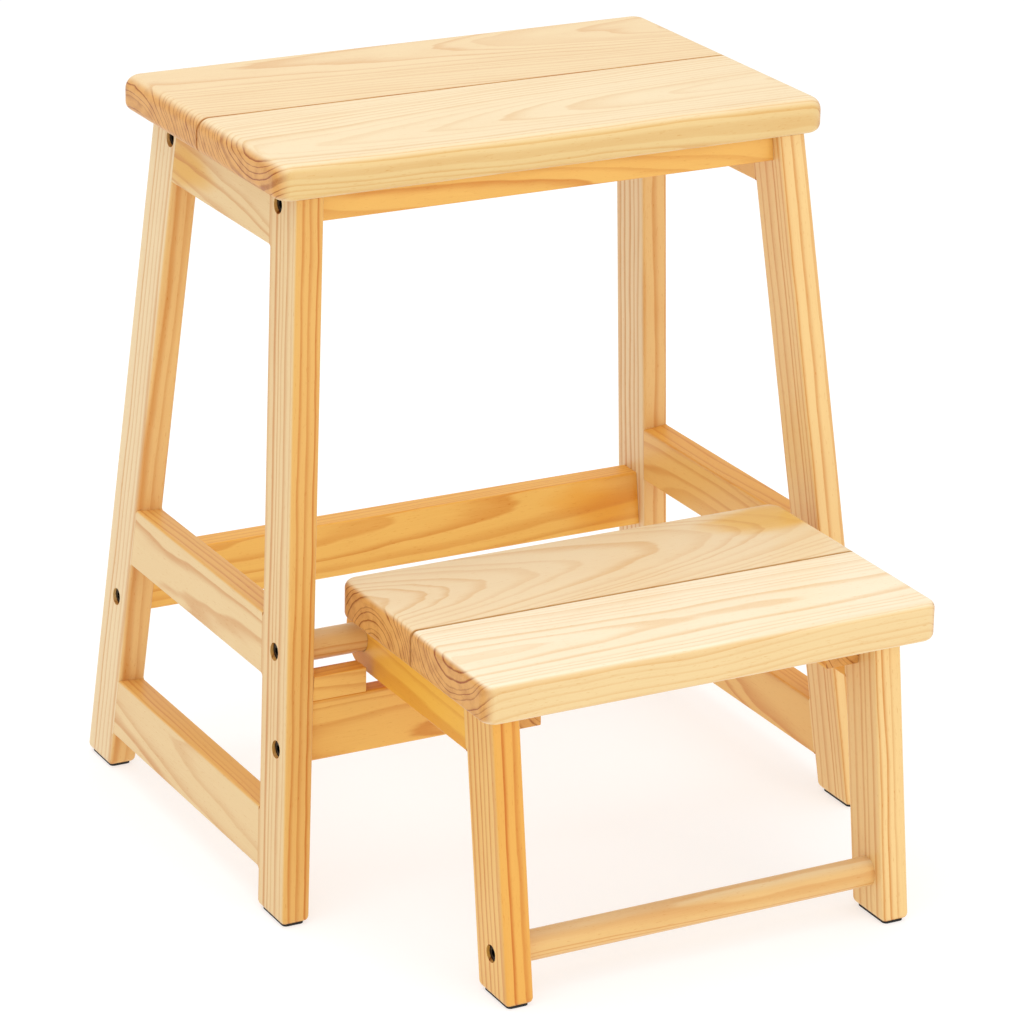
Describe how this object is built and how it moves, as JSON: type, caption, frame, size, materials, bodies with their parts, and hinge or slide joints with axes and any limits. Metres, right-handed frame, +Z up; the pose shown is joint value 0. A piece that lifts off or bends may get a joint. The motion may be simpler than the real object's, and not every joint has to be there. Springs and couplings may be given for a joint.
{
  "type": "folding step stool",
  "caption": "Folding wooden step stool: a rounded plank seat on splayed, braced legs, with a lower step that swings up and over a round bar to store inside the frame.",
  "frame": {"origin": "on the floor, in the middle of the open stool's footprint", "axes": "+X to the right along the planks, +Y to the back, -Y to the side that the lower step stands on, +Z up"},
  "size_m": [0.4558, 0.4967, 0.5],
  "materials": {
    "pine_plank": "clear satin varnish on pale pine, rounded edges",
    "pine_frame": "clear satin varnish on warm pine",
    "pine_bar": "clear satin varnish on straight-grained pine",
    "black_steel": "black oxide",
    "black_rubber": "matt black"
  },
  "bodies": {
    "frame": {"seat_plank_front": "pine_plank", "seat_plank_back": "pine_plank", "leg_front_left": "pine_frame", "leg_front_right": "pine_frame", "leg_back_left": "pine_frame", "leg_back_right": "pine_frame", "side_apron_left": "pine_frame", "side_apron_right": "pine_frame", "side_mid_rail_left": "pine_frame", "side_mid_rail_right": "pine_frame", "side_low_rail_left": "pine_frame", "side_low_rail_right": "pine_frame", "seat_batten_front": "pine_frame", "seat_batten_back": "pine_frame", "back_rail": "pine_frame", "front_low_rail": "pine_frame", "pivot_bar": "pine_bar", "spacer_block_left": "pine_bar", "spacer_block_right": "pine_bar", "frame_screws": "black_steel", "cross_rail_dowels": "pine_bar", "side_frame_dowels": "pine_bar", "seat_batten_screws": "black_steel", "frame_foot_pads": "black_rubber"},
    "step": {"step_plank_front": "pine_plank", "step_plank_back": "pine_plank", "step_rail_left": "pine_frame", "step_rail_right": "pine_frame", "step_leg_left": "pine_frame", "step_leg_right": "pine_frame", "step_low_bar": "pine_bar", "step_cleat_left": "pine_bar", "step_cleat_right": "pine_bar", "step_leg_screws": "black_steel", "step_cleat_screws": "black_steel", "step_frame_dowels": "pine_bar", "step_foot_pads": "black_rubber"}
  },
  "joints": [
    {"name": "step_fold", "type": "hinge", "parent": "frame", "child": "step", "pos_m": [0, -0.0365, 0.1785], "axis": [-1, 0, 0], "range_deg": [0, 185]}
  ]
}
